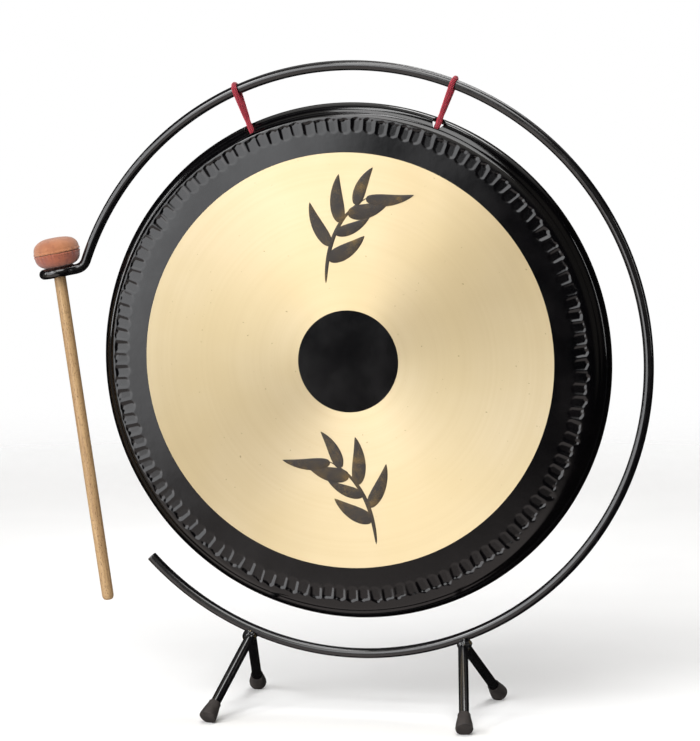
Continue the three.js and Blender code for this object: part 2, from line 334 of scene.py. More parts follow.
def join(name, pieces):
    """Joins meshes made here into one piece."""
    bpy.ops.object.select_all(action="DESELECT")
    for piece in pieces:
        piece.select_set(True)
    bpy.context.view_layer.objects.active = pieces[0]
    bpy.ops.object.join()
    pieces[0].name = name
    pieces[0].data.name = name
    return pieces[0]


def finish_piece(piece, body, material, slot, *nodes):
    """Gives a piece its material and its body, and hides the CAD nodes that it stands for; the slot is not
    used.
    """
    if material is not None:
        piece.data.materials.clear()
        piece.data.materials.append(material)
    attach(piece, body)
    if nodes:
        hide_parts(*nodes)


# ---------------------------------------------------------------- materials

class Look:
    """A material's node tree, with short calls for adding nodes to it."""

    def __init__(self, name, **settings):
        self.material = bpy.data.materials.new(name)
        self.material.use_nodes = True
        self.tree = self.material.node_tree
        self.shader = self.tree.nodes["Principled BSDF"]
        for socket, value in settings.items():
            self.shader.inputs[socket.replace("_", " ")].default_value = value

    def node(self, kind, inputs=None, output=0, **settings):
        made = self.tree.nodes.new("ShaderNode" + kind)
        for key, value in settings.items():
            setattr(made, key, value)
        for key, value in (inputs or {}).items():
            if isinstance(value, bpy.types.NodeSocket):
                self.tree.links.new(value, made.inputs[key])
            else:
                made.inputs[key].default_value = value
        return made.outputs[output]

    def place(self, kind="Object"):
        return self.node("TexCoord", output=kind)

    def stretched(self, where, scale):
        return self.node("Mapping", {"Vector": where, "Scale": scale})

    def noise(self, where, scale, detail=4.0, roughness=0.55):
        inputs = {"Vector": where, "Scale": scale, "Detail": detail, "Roughness": roughness}
        return self.node("TexNoise", inputs, noise_dimensions="3D")

    def ranged(self, value, from_low, from_high, to_low=0.0, to_high=1.0):
        inputs = {"Value": value, "From Min": from_low, "From Max": from_high,
                  "To Min": to_low, "To Max": to_high}
        return self.node("MapRange", inputs, interpolation_type="SMOOTHSTEP")

    def math(self, operation, first, second=0.5):
        return self.node("Math", {0: first, 1: second}, operation=operation)

    def mix(self, share, first, second):
        inputs = {"Factor": share, 6: first, 7: second}
        return self.node("Mix", inputs, output=2, data_type="RGBA")

    def link(self, value, socket):
        self.tree.links.new(value, self.shader.inputs[socket])

    def bump(self, *layers):
        """Bump from pairs of height and depth in metres."""
        normal = None
        for height, depth in layers:
            inputs = {"Height": height, "Distance": depth, "Strength": 1.0}
            if normal is not None:
                inputs["Normal"] = normal
            normal = self.node("Bump", inputs)
        self.link(normal, "Normal")


def color(red, green, blue):
    """A colour given as 0 to 255 screen values, turned into linear light."""
    def linear(value):
        value /= 255
        return value / 12.92 if value <= 0.04045 else ((value + 0.055) / 1.055) ** 2.4
    return (linear(red), linear(green), linear(blue), 1.0)


def enamel(name="black_enamel"):
    """Gloss black stove enamel: slight orange peel, fine dust, and duller handling marks."""
    look = Look(name, Coat_Weight=0.5, Coat_Roughness=0.06, Specular_IOR_Level=0.5)
    where = look.place()
    patches = look.noise(where, 90.0)
    dust = look.ranged(look.noise(where, 2600.0, 2.0), 0.66, 0.74)
    shade = look.mix(look.ranged(patches, 0.35, 0.7), color(7, 7, 9), color(13, 12, 14))
    look.link(look.mix(look.math("MULTIPLY", dust, 0.2), shade, color(90, 86, 82)), "Base Color")
    look.link(look.ranged(patches, 0.3, 0.75, 0.12, 0.26), "Roughness")
    look.bump((look.noise(where, 300.0, 2.0), 0.00002), (look.noise(where, 2200.0, 2.0), 0.000003))
    return look.material


def weld_enamel():
    """The same enamel over rough weld, thin on the crests where the filler metal shows."""
    look = Look("weld_enamel", Coat_Weight=0.5, Coat_Roughness=0.08)
    where = look.place()
    relief = look.node("Attribute", output="Fac", attribute_name="relief")
    worn = look.ranged(look.noise(where, 500.0), 0.45, 0.6)
    bare = look.math("MULTIPLY", look.ranged(relief, 0.66, 0.85), worn)
    look.link(look.mix(bare, color(12, 12, 14), color(140, 120, 82)), "Base Color")
    look.link(look.math("MULTIPLY", bare, 0.7), "Metallic")
    look.link(look.ranged(look.noise(where, 300.0), 0.3, 0.7, 0.14, 0.34), "Roughness")
    look.bump((look.noise(where, 700.0, 5.0), 0.0002))
    return look.material


def rubber():
    """Matt dark grey moulded rubber with bloom and dust."""
    look = Look("grey_rubber", Specular_IOR_Level=0.35)
    where = look.place()
    bloom = look.ranged(look.noise(where, 260.0, 6.0), 0.35, 0.7)
    grit = look.ranged(look.noise(where, 3200.0, 3.0), 0.6, 0.75)
    shade = look.mix(bloom, color(42, 38, 37), color(58, 53, 51))
    look.link(look.mix(look.math("MULTIPLY", grit, 0.35), shade, color(94, 88, 82)), "Base Color")
    look.link(look.ranged(bloom, 0.0, 1.0, 0.62, 0.85), "Roughness")
    look.bump((look.noise(where, 1500.0, 4.0), 0.00008))
    return look.material


def from_axis(look):
    """Distance from the lathe's centre, in metres."""
    size = GONG_HIGH[0] - GONG_LOW[0]
    middle = 0.5 + (on_lathe(0, 0, 0) - GONG) / size
    centred = look.node("VectorMath", {0: look.place("Generated"), 1: tuple(middle)}, operation="SUBTRACT")
    flat = look.node("VectorMath", {0: centred, 1: (size, 0.0, size)}, operation="MULTIPLY")
    return look.node("VectorMath", {0: flat}, output="Value", operation="LENGTH")


def lathe_lines(look, radius, scale):
    """Fine uneven rings left by the turning tool."""
    rings = look.node("CombineXYZ", {"X": radius})
    return look.noise(rings, scale, 3.0, 0.7)


def turned_brass():
    """Bare lathe-turned bronze: a brushed sheen across the rings, faint tarnish and small pits."""
    look = Look("turned_bronze", Metallic=0.92, Anisotropic=0.72, Anisotropic_Rotation=0.25)
    where = look.place()
    radius = from_axis(look)
    lines = lathe_lines(look, radius, 2400.0)
    bands = lathe_lines(look, radius, 160.0)
    clouds = look.noise(where, 9.0, 3.0)
    pits = look.ranged(look.noise(where, 420.0, 2.0), 0.73, 0.78)
    base = look.mix(look.ranged(clouds, 0.3, 0.7), color(215, 199, 165), color(208, 190, 150))
    ringed = look.mix(look.ranged(bands, 0.3, 0.7, 0.0, 0.35), base, color(202, 183, 144))
    look.link(look.mix(look.math("MULTIPLY", pits, 0.5), ringed, color(120, 96, 60)), "Base Color")
    look.link(look.ranged(lines, 0.25, 0.75, 0.44, 0.52), "Roughness")
    look.link(look.node("Tangent", direction_type="RADIAL", axis="Y"), "Tangent")
    look.bump((look.noise(where, 14.0, 2.0), 0.0004), (lines, 0.000004))
    return look.material


def lacquer():
    """Black lacquer brushed over the bronze, satin, with dust."""
    look = Look("black_lacquer", Specular_IOR_Level=0.5)
    where = look.place()
    patches = look.noise(where, 30.0, 5.0)
    dust = look.ranged(look.noise(where, 2400.0, 2.0), 0.68, 0.76)
    shade = look.mix(look.ranged(patches, 0.35, 0.7), color(2, 2, 3), color(5, 4, 5))
    look.link(look.mix(look.math("MULTIPLY", dust, 0.12), shade, color(90, 86, 84)), "Base Color")
    look.link(look.ranged(patches, 0.3, 0.7, 0.08, 0.13), "Roughness")
    look.bump((look.noise(where, 200.0, 3.0), 0.00001))
    return look.material


def oxide():
    """The unturned back: dark fire scale over bronze, brown where it has been handled."""
    look = Look("bronze_fire_scale", Specular_IOR_Level=0.4)
    where = look.place()
    patches = look.noise(where, 22.0, 8.0, 0.62)
    spots = look.ranged(look.noise(where, 190.0, 4.0), 0.56, 0.7)
    radius = from_axis(look)
    lines = look.ranged(lathe_lines(look, radius, 260.0), 0.45, 0.75)
    shade = look.mix(look.ranged(patches, 0.35, 0.68), color(38, 33, 31), color(86, 66, 46))
    spotted = look.mix(look.math("MULTIPLY", spots, 0.6), shade, color(26, 24, 26))
    look.link(look.mix(look.math("MULTIPLY", lines, 0.35), spotted, color(128, 100, 62)), "Base Color")
    look.link(look.ranged(patches, 0.4, 0.7, 0.15, 0.75), "Metallic")
    look.link(look.ranged(patches, 0.3, 0.7, 0.62, 0.4), "Roughness")
    look.bump((patches, 0.0002), (look.noise(where, 900.0, 3.0), 0.00004))
    return look.material


def brush_ink():
    """Brown-black ink whose bristles ran dry, so that bronze powder streaks show along the stroke."""
    look = Look("brush_ink", Specular_IOR_Level=0.5)
    where = look.stretched(look.place("UV"), (26.0, 120.0, 1.0))
    streaks = look.noise(where, 1.0, 4.0, 0.7)
    wet = look.noise(look.place(), 120.0, 3.0)
    gold = look.ranged(look.math("ADD", streaks, look.math("MULTIPLY", wet, 0.35)), 0.72, 0.82)
    look.link(look.mix(gold, color(28, 20, 14), color(150, 120, 62)), "Base Color")
    look.link(look.math("MULTIPLY", gold, 0.6), "Metallic")
    look.link(look.ranged(wet, 0.3, 0.7, 0.28, 0.5), "Roughness")
    look.bump((streaks, 0.00012))
    return look.material


def braid_red():
    """Red braided nylon, with painted shade in the hollows between the crossing strands and painted light on
    their raised backs.
    """
    look = Look("red_braid", Sheen_Weight=0.25, Sheen_Roughness=0.5, Specular_IOR_Level=0.3)
    relief = look.node("Attribute", output="Fac", attribute_name="relief")
    fibres = look.noise(look.stretched(look.place("UV"), (90.0, 5200.0, 1.0)), 1.0, 3.0)
    dyed = look.noise(look.place(), 900.0, 3.0)
    # Painted shade and light: darker where the braid's relief sinks between strands, paler on the raised
    # strands.
    crossing = look.mix(look.ranged(relief, -0.00009, 0.00005), color(104, 4, 22), color(232, 44, 74))
    varied = look.mix(look.ranged(dyed, 0.55, 0.7, 0.0, 0.5), crossing, color(160, 14, 42))
    look.link(look.mix(look.ranged(fibres, 0.52, 0.72, 0.0, 0.5), varied, color(246, 110, 126)), "Base Color")
    look.link(look.ranged(dyed, 0.3, 0.7, 0.55, 0.75), "Roughness")
    look.bump((fibres, 0.00006))
    return look.material


def pale_wood(name, along):
    """Pale speckled hardwood with grain along one direction, under a thin satin varnish."""
    look = Look(name, Coat_Weight=0.12, Coat_Roughness=0.3, Specular_IOR_Level=0.4)
    tilt = math.atan2(-along[0], along[2])
    turned_to = look.node("Mapping", {"Vector": look.place(), "Rotation": (0.0, tilt, 0.0)})
    grain = look.noise(look.stretched(turned_to, (1500.0, 1500.0, 60.0)), 1.0, 5.0, 0.6)
    rays = look.noise(look.stretched(turned_to, (2400.0, 2400.0, 700.0)), 1.0, 3.0, 0.6)
    bands = look.noise(look.stretched(turned_to, (220.0, 220.0, 12.0)), 1.0, 3.0, 0.5)
    plain = look.mix(look.ranged(bands, 0.3, 0.7), color(161, 129, 90), color(186, 153, 110))
    grained = look.mix(look.ranged(grain, 0.46, 0.7, 0.0, 0.6), plain, color(126, 92, 58))
    speckled = look.mix(look.ranged(rays, 0.55, 0.66, 0.0, 0.85), grained, color(88, 61, 35))
    look.link(speckled, "Base Color")
    look.link(look.ranged(grain, 0.3, 0.7, 0.42, 0.6), "Roughness")
    look.bump((grain, 0.00006), (rays, 0.00003))
    return look.material


def leather(name, light, dark, stain_and_shade):
    """Dyed suede leather: soft nap, painted shade in the wrinkles, with uneven dye and small scars."""
    look = Look(name, Sheen_Weight=0.3, Sheen_Roughness=0.6, Specular_IOR_Level=0.3)
    where = look.place()
    relief = look.node("Attribute", output="Fac", attribute_name="relief")
    nap = look.noise(where, 1800.0, 6.0, 0.7)
    dye = look.noise(where, 130.0, 5.0)
    scars = look.ranged(look.noise(where, 420.0, 3.0), 0.6, 0.72)
    base = look.mix(look.ranged(dye, 0.32, 0.68), light, dark)
    scarred = look.mix(look.math("MULTIPLY", scars, 0.45), base, stain_and_shade)
    # Painted shade: the stain colour fills the wrinkles where the cover's relief sinks.
    wrinkle_painted_shade = look.mix(look.ranged(relief, 0.0, -0.0006, 0.0, 0.75), scarred, stain_and_shade)
    look.link(wrinkle_painted_shade, "Base Color")
    look.link(look.ranged(nap, 0.3, 0.7, 0.55, 0.8), "Roughness")
    cells = look.node("TexVoronoi", {"Vector": where, "Scale": 900.0}, feature="DISTANCE_TO_EDGE")
    look.bump((nap, 0.00012), (cells, 0.0001))
    return look.material


# ---------------------------------------------------------------- stand

def eye_path():
    """The rod's centreline: round the ring, down the neck and round the mallet's eye."""
    angles = np.linspace(RING_FREE_END, RING_EYE_END, 1200)
    ring = RING_CENTRE + RING_R * np.stack([np.cos(angles), angles * 0, np.sin(angles)], 1)
    heading = np.array([-math.sin(RING_EYE_END), 0, math.cos(RING_EYE_END)])
    turn = np.linspace(EYE_FROM, EYE_TO, 240)
    curl = on_eye(EYE_R * np.cos(turn), EYE_R * np.sin(turn), turn * 0)
    leaving = on_eye(math.sin(EYE_FROM), -math.cos(EYE_FROM), 0) - EYE
    neck = bezier(
        [ring[-1], ring[-1] + heading * NECK_PULL, curl[0] - leaving * NECK_PULL, curl[0]],
        np.linspace(0, 1, 60),
    )
    return np.concatenate([ring, neck[1:-1], curl])


def stand_rod():
    made = rod("ring_and_eye_rod", eye_path(), ROD_R, 32, 0.9 * MM, 0.5 * MM)
    finish_piece(made, "stand", ENAMEL, "black_paint", "ring_frame", "mallet_eye")


def leg_line(end, side):
    """The centre of a leg's rounded top, the way it runs, and how far its line goes to the cap's end."""
    top, down, length = long_axis(f"{end}_{side}_leg")
    return top + down * ROD_R, down, length - ROD_R + CAP_BASE + CAP_GAP


def leg(end, side):
    top, down, length = leg_line(end, side)
    ends = [top - down * ROD_R, top + down * (length - CAP_BASE - CAP_GAP)]
    made = rod(f"{end}_{side}_leg_rod", np.array(ends), ROD_R, 32, 2 * MM, 2.8 * MM)
    finish_piece(made, "stand", ENAMEL, "black_paint", f"{end}_{side}_leg")


def cap(end, side):
    """A rubber cap: a moulded bell with a lip, a dished end and a blind socket for the leg."""
    top, down, length = leg_line(end, side)
    across = np.cross(down, [0, 0, 1])
    across /= np.linalg.norm(across)
    other = np.cross(down, across)
    socket = ROD_R + CAP_GAP
    mouth = length - CAP_LENGTH
    profile = [
        (0.2 * MM, length), (2.2 * MM, length - 0.03 * MM), (3.8 * MM, length - 0.14 * MM),
        (CAP_R - 0.5 * MM, length - 0.3 * MM), (CAP_R - 0.12 * MM, length - 0.45 * MM),
        (CAP_R, length - 0.75 * MM), (CAP_R - 0.04 * MM, length - 2 * MM),
        (CAP_R - 0.4 * MM, length - 5 * MM),
        (CAP_R - 0.95 * MM, length - 8 * MM), (3.85 * MM, mouth + 2 * MM), (3.72 * MM, mouth + 0.9 * MM),
        (3.78 * MM, mouth + 0.5 * MM), (3.75 * MM, mouth + 0.2 * MM), (3.62 * MM, mouth),
        (socket + 0.15 * MM, mouth), (socket, mouth + 0.3 * MM), (socket, length - CAP_BASE),
        (0.2 * MM, length - CAP_BASE),
    ]
    fine = resampled(np.column_stack([profile, np.zeros(len(profile))]),
                     np.linspace(0, run_of(np.array(profile))[-1], 110))[:, :2]

    def place(x, y, z):
        points = top + x[..., None] * across + y[..., None] * other + z[..., None] * down
        points[..., 2] = np.maximum(points[..., 2], 0)
        return points

    def mould_line(angle, r, z):
        ridge = np.exp(-(np.sin(angle) / 0.05) ** 2) * 0.12 * MM
        outside = (np.arange(len(r)) < len(r) * 0.62)[:, None]
        return r + ridge * outside * (r > 3.7 * MM) * (z < length - 0.7 * MM), z

    made = turned(f"{end}_{side}_rubber_cap", fine, place, 72, shape=mould_line)
    finish_piece(made, "stand", RUBBER, "foot_rubber", f"{end}_{side}_foot")


def weld(side):
    """A lumpy bead of weld that fills the corner between two leg tops and the ring."""
    low, high = (np.array(corner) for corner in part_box(f"{side}_leg_weld"))
    middle = (low + high) / 2
    middle[1] = 0
    rows, sides = 40, 64
    polar = np.linspace(0.03, math.pi - 0.03, rows)[:, None]
    angle = (np.arange(sides) * TURN / sides)[None, :]
    way = np.stack([
        np.sin(polar) * np.cos(angle), np.sin(polar) * np.sin(angle), np.cos(polar) + 0 * angle,
    ], -1)
    lumps = np.array([
        [noise.fractal(Vector(spot * 1.7 + middle * 900), 0.9, 2.1, 4) for spot in row] for row in way
    ])
    ripples = np.sin(way[..., 1] * 12 + lumps * 4) * 0.5
    reach = 1 + 0.13 * lumps + 0.05 * ripples
    size = np.array([4.3, 5.6, 4.4]) * MM
    rings = middle + way * size * reach[..., None]
    made = skin(f"{side}_weld_bead", rings, relief=0.5 + 0.8 * lumps * (way[..., 1] < 0))
    finish_piece(made, "stand", WELD, "black_paint", f"{side}_leg_weld")


# ---------------------------------------------------------------- gong

def gong_outline():
    """The outer face from its centre to the end of its rim, as radius and depth."""
    bend = bezier([(FLAT_R, 0), (FLAT_R + 3.4 * MM, 0.2 * MM), FOLD], np.linspace(0, 1, 13))
    pull = (FOLD[0] + 2.8 * MM, FOLD[1] + 1.4 * MM)
    shoulder = bezier([FOLD, pull, (WIDEST[0], WIDEST[1] - 3.4 * MM), WIDEST], np.linspace(0, 1, 15))
    rim = bezier([WIDEST, (WIDEST[0] - 0.3 * MM, WIDEST[1] + 9 * MM), RIM_END], np.linspace(0, 1, 14))
    face = np.concatenate([
        np.linspace(1 * MM, DOT_R - 0.3 * MM, 5),
        [DOT_R],
        np.linspace(DOT_R + 1 * MM, BRASS_R - 1 * MM, 22),
        [BRASS_R],
        np.linspace(BRASS_R + 1 * MM, BAND_IN - 1 * MM, 6),
        np.linspace(BAND_IN - 0.5 * MM, FLAT_R - 0.4 * MM, 26),
    ])
    flat = np.stack([face, face * 0], 1)
    return np.concatenate([flat, bend, shoulder[1:], rim[1:]])


def hammer_marks(r, angle):
    """Depth of the hammered band: finger-shaped blows side by side, which sink outwards to a pit."""
    turns = (angle / TURN % 1) * MARKS
    number = turns.astype(int) % MARKS
    random = np.random.default_rng(11)

    def each(low, high):
        return random.uniform(low, high, MARKS)[number]

    q = (r - BAND_IN - each(-0.7, 0.7) * MM) / (BAND_OUT - BAND_IN)
    side = 2 * (turns - np.floor(turns)) - 1 + each(-0.4, 0.4) * (q - 0.5) + each(-0.12, 0.12)
    rounded = 0.28 * side ** 2
    ends = smooth(q, rounded, rounded + 0.1) * (1 - smooth(q, 0.8, 1.0))
    pressed = (1 - smooth(np.abs(side), 0.55, 1.0)) * (0.1 + 0.12 * q) * each(0.4, 1.6)
    pit = np.exp(-((side - each(-0.5, 0.3)) / 0.3) ** 2 - ((q - 0.93) / 0.08) ** 2) * each(0.05, 0.5)
    return (pressed * ends + pit) * MM


def face_depth(r, angle):
    """How far the struck face lies behind its flat: hand-hammered waves, and a fall at the black edge."""
    x = r * np.cos(angle) / FLAT_R
    z = r * np.sin(angle) / FLAT_R
    waves = np.sin(5.1 * x + 2.3 * z + 1.0) + np.sin(-3.3 * x + 6.2 * z + 4.0)
    waves += np.sin(9.0 * x - 4.0 * z + 2.0)
    fall = np.clip((r - BRASS_R) / (FLAT_R - BRASS_R), 0, 1)
    return 0.05 * MM * waves + 0.15 * MM * fall


def fold_wobble(r, depth, angle):
    """The fold is beaten by hand, so its edge wanders in and out."""
    near = np.exp(-((r - FOLD[0] - 1 * MM) / (3.4 * MM)) ** 2) * (depth < 10 * MM)
    return near * wobble(angle, range(5, 26), 23, 0.3) * 0.8 * MM


def on_gong(x, y, z):
    """A point given as right, depth and up from the middle of the gong's face."""
    x, y, z = (np.asarray(value)[..., None] for value in (x, y, z))
    right = np.array([math.cos(GONG_TILT), 0, math.sin(GONG_TILT)])
    up = np.array([-math.sin(GONG_TILT), 0, math.cos(GONG_TILT)])
    return GONG + x * right + y * np.array([0, 1, 0]) + z * up


def on_lathe(x, y, z):
    """The same, measured from the lathe's centre."""
    return on_gong(np.asarray(x) + LATHE_RIGHT, y, np.asarray(z) + LATHE_UP)


def gong_sheet():
    outside = gong_outline()
    ahead = np.gradient(outside, axis=0)
    ahead /= np.linalg.norm(ahead, axis=1, keepdims=True)
    inside = outside + SHEET * np.stack([-ahead[:, 1], ahead[:, 0]], 1)
    inside[0, 0] = outside[0, 0]
    edge_turn = np.linspace(0, math.pi, 7)[1:-1, None]
    edge_middle = (outside[-1] + inside[-1]) / 2
    edge_half = (outside[-1] - inside[-1]) / 2
    edge = edge_middle + edge_half * np.cos(edge_turn) + ahead[-1] * SHEET / 2 * np.sin(edge_turn)
    back = inside[::-1]
    profile = np.concatenate([outside, edge, back])
    angle = (np.arange(COLUMNS) * TURN / COLUMNS)[None, :]
    base_r = np.concatenate([outside[:, 0], edge[:, 0], outside[::-1, 0]])[:, None]
    base_depth = np.concatenate([outside[:, 1], edge[:, 1], outside[::-1, 1]])[:, None]
    marks = hammer_marks(base_r, angle) * (base_depth < 1 * MM)
    face = smooth(base_depth, 3 * MM, 0) * face_depth(base_r, angle)
    r = profile[:, :1] + fold_wobble(base_r, base_depth, angle)
    depth = profile[:, 1:] + marks + face
    depth += smooth(base_depth, 12 * MM, 26 * MM) * wobble(angle, range(3, 24), 5, 0.6) * 0.6 * MM
    lathed = 1 - smooth(base_r, FLAT_R - 0.5 * MM, FOLD[0])
    rings = on_gong(r * np.cos(angle) + lathed * LATHE_RIGHT, depth, r * np.sin(angle) + lathed * LATHE_UP)
    made = skin("gong_sheet", rings, relief=marks)
    made.data.materials.append(LACQUER)
    made.data.materials.append(BRASS)
    made.data.materials.append(OXIDE)
    row = np.zeros(len(profile) - 1, int)
    row_r = outside[:, 0]
    brass_rows = np.where((row_r[:-1] >= DOT_R - 1e-6) & (row_r[1:] <= BRASS_R + 1e-6))[0]
    row[brass_rows] = 1
    row[len(outside) + len(edge):] = 2
    fans = np.repeat([0, 2], COLUMNS)
    index = np.concatenate([np.repeat(row, COLUMNS), fans])
    made.data.polygons.foreach_set("material_index", index.astype(np.int32))
    drill(made)
    finish_piece(made, "gong", None, "gong_bronze", "gong_disc")


def drill(sheet):
    """Cuts the two rim holes that the cords go through."""
    for number, hole in enumerate(HOLES):
        out = (hole - GONG) * [1, 0, 1]
        out /= np.linalg.norm(out)
        cutter = rod(f"drill_{number}", np.array([hole - out * 8 * MM, hole + out * 8 * MM]), HOLE_R, 40,
                     4 * MM, 0.1 * MM)
        cutter.data.materials.append(LACQUER)
        cut = sheet.modifiers.new("hole", "BOOLEAN")
        cut.operation = "DIFFERENCE"
        cut.solver = "MANIFOLD"
        cut.object = cutter
        bpy.context.view_layer.objects.active = sheet
        bpy.ops.object.modifier_apply(modifier=cut.name)
        bpy.data.objects.remove(cutter)


def stroke(name, start, bend, end, width, lift):
    """One brush stroke laid on the face: it swells from a blunt start and ends in a dry point."""
    t = np.linspace(0, 1, 46)
    spine = bezier([start, bend, end], t)
    ahead = np.gradient(spine, axis=0)
    ahead /= np.linalg.norm(ahead, axis=1, keepdims=True)
    side = np.stack([-ahead[:, 1], ahead[:, 0]], 1)
    swell = np.sin(math.pi * t ** 0.62) ** 0.75 * 0.93 + 0.07 * (1 - t)
    turn = (np.arange(20) * TURN / 20)[None, :]
    seed = int(abs(start[0] * 31 + end[1] * 17) * 1000) + 3
    ragged = 1 + 0.1 * wobble(t * 3 + 1, range(5, 60), seed, 0.3)[:, None] * np.sign(np.cos(turn))
    across = width / 2 * swell[:, None] * np.cos(turn) * ragged
    height = np.sin(turn) * 0.16 * MM + lift
    x = spine[:, :1] + side[:, :1] * across
    z = spine[:, 1:] + side[:, 1:] * across
    depth = face_depth(np.hypot(x, z), np.arctan2(z, x)) - height
    return skin(name, on_lathe(x, depth, z), along=run_of(spine) / MM / 10)


def leaf_spray(name, centre, lean, leaves):
    """A brush-painted sprig: a bent twig with leaves on alternate sides and one at its tip."""
    centre = np.array(centre) * MM
    foot = centre + np.array([-lean * 17, -35]) * MM
    bend = centre + np.array([-lean * 15, 4]) * MM
    tip = centre + np.array([lean * 12, 16]) * MM
    strokes = [stroke("twig", foot, bend, tip, 2.6 * MM, 0.02 * MM)]
    for number in range(leaves):
        t = 0.2 + 0.75 * number / (leaves - 1)
        grows, ahead = bezier([foot, bend, tip], [t, min(t + 0.02, 1.02)])
        heading = math.atan2(*(ahead - grows)[::-1])
        side = (1 if number % 2 else -1) * lean
        away = heading + side * math.radians(62 - 4 * number)
        droop = away - side * math.radians(30)
        length = (26 + 3 * math.sin(number * 2.4)) * MM
        middle = grows + length * 0.55 * np.array([math.cos(away), math.sin(away)])
        end = middle + length * 0.5 * np.array([math.cos(droop), math.sin(droop)])
        width = (8.2 + 1.2 * math.cos(number * 1.7)) * MM
        strokes.append(stroke(f"leaf_{number}", grows, middle, end, width, 0.03 * MM * (number + 1)))
    made = join(name, strokes)
    finish_piece(made, "gong", INK, "gong_bronze")


# ---------------------------------------------------------------- hanger cords

def braid(turn, run):
    """Height of a round braid's crossing strands; turn is 0 to 1 round the cord."""
    strands, pitch = 4, 3.4 * MM
    across = np.cos(TURN * strands * turn) * np.cos(TURN * run / pitch)
    other = np.sin(TURN * strands * turn) * np.sin(TURN * run / pitch)
    return 0.8 * MM * np.maximum(np.abs(across), np.abs(other)) - 0.68 * MM


def cord_path(hole, loop):
    """The cord from its front end at the knot, over the ring and back down to the knot."""
    up = loop - hole
    rise = np.linalg.norm(up)
    up /= rise
    low = 1.5 * MM - KNOT_DROP
    climb = np.linspace(low, rise, 60)
    spread = NECK_HALF + (LOOP_R - NECK_HALF) * smooth(climb, NECK_RISE, rise)
    over = np.linspace(0, math.pi, 50)[1:-1]
    height = np.concatenate([climb, rise + LOOP_TOP * np.sin(over), climb[::-1]])
    depth = np.concatenate([-spread, -LOOP_R * np.cos(over), spread[::-1]])
    aside = SPLAY * (1 - smooth(climb, 1 * MM, 8 * MM))
    apart = np.concatenate([-aside, over * 0, aside[::-1]])
    across = np.cross(up, [0, 1, 0])
    path = hole + height[:, None] * up + depth[:, None] * np.array([0, 1, 0]) + apart[:, None] * across
    return path, up


def off_the_ring(points):
    """The cord is pressed flat where it lies on the ring's rod."""
    out = (points - RING_CENTRE) * [1, 0, 1]
    core = RING_CENTRE + RING_R * out / np.linalg.norm(out, axis=-1, keepdims=True)
    away = points - core
    distance = np.linalg.norm(away, axis=-1, keepdims=True)
    return core + away * np.maximum(1, (ROD_R + RING_CLEAR) / distance)


def knot_parts(side, hole, up):
    """A stopper knot: the cord wound round itself, and its two cut and melted ends."""
    centre = hole - up * KNOT_DROP + np.array([0, KNOT_BACK, 0])
    across = np.cross(up, [0, 1, 0])
    turn = np.linspace(0, 2.6 * TURN, 160)
    rise = np.linspace(-1.9, 1.9, 160) * MM
    swell = 2.35 * MM - 0.5 * MM * (rise / (1.9 * MM)) ** 2
    winding = centre + np.outer(swell * np.cos(turn), across) + np.outer(rise, up)
    winding += np.outer(swell * np.sin(turn), [0, 1, 0])
    parts = [rod(f"{side}_knot_turns", winding, 1.3 * MM, 24, 0.3 * MM, 0.9 * MM, braid)]
    core = np.array([centre + up * 2.4 * MM, centre - up * 2.4 * MM])
    parts.append(rod(f"{side}_knot_core", core, 1.9 * MM, 24, 0.4 * MM, 1 * MM, braid))
    for number, lean in enumerate((-1, 1)):
        leaves = centre + across * lean * 0.9 * MM - up * 1.5 * MM
        end = leaves - up * (5.2 + 0.8 * number) * MM + across * lean * 1.6 * MM
        bend = leaves - up * 2.6 * MM
        tail = bezier([leaves, bend, end + np.array([0, 0.6 * MM, 0])], np.linspace(0, 1, 30))
        parts.append(rod(f"{side}_tail_{number}", tail, CORD_R, 28, 0.25 * MM, 1.1 * MM, braid))
    return parts


def hanger(side, hole, loop):
    path, up = cord_path(hole, loop)
    parts = [rod(f"{side}_strands", path, CORD_R, 32, 0.25 * MM, 0.8 * MM, braid, off_the_ring)]
    parts += knot_parts(side, hole, up)
    made = join(f"{side}_braided_cord", parts)
    finish_piece(made, "hangers", CORD, "hanger_cord", f"{side}_hanger_cord")


# ---------------------------------------------------------------- mallet

def stick():
    """The handle: a lathe-turned dowel, a little uneven along its length."""
    tip = -STICK_BELOW_EYE
    profile = np.array([
        (0.3 * MM, tip), (2.2 * MM, tip + 0.25 * MM), (3.0 * MM, tip + 0.8 * MM), (3.4 * MM, tip + 1.7 * MM),
        (STICK_R, tip + 3 * MM), (STICK_R, STICK_TOP), (0.3 * MM, STICK_TOP),
    ])
    run = run_of(np.column_stack([profile, profile[:, 0] * 0]))
    fine = resampled(np.column_stack([profile, profile[:, 0] * 0]), np.linspace(0, run[-1], 260))[:, :2]

    def uneven(angle, r, z):
        waves = np.sin(z / (17 * MM)) + np.sin(z / (41 * MM) + 1) + 0.5 * np.cos(2 * angle + z / (60 * MM))
        facets = 0.5 * np.cos(9 * angle + z / (90 * MM)) * np.sin(z / (11 * MM))
        return r - (0.03 * waves + 0.02 * facets + 0.04) * MM, z

    made = turned("mallet_handle", fine, in_holder, 48, shape=uneven)
    finish_piece(made, "mallet", HANDLE_WOOD, "mallet_wood", "mallet_stick")


def head_outline(from_height, to_height, inwards, steps):
    """Points down the head's side between two heights above its underside, as radius and height."""
    half = HEAD_HEIGHT / 2
    low, high = (math.acos(np.clip((h - half) / (half - inwards), -1, 1)) for h in (from_height, to_height))
    height = half + (half - inwards) * np.cos(np.linspace(low, high, steps))
    share = np.minimum(np.abs(height - half) / (half - inwards), 1)
    radius = (HEAD_R - inwards) * (1 - share ** HEAD_SQUARENESS) ** (1 / HEAD_SQUARENESS)
    return np.stack([np.maximum(radius, 0.2 * MM), height], 1)


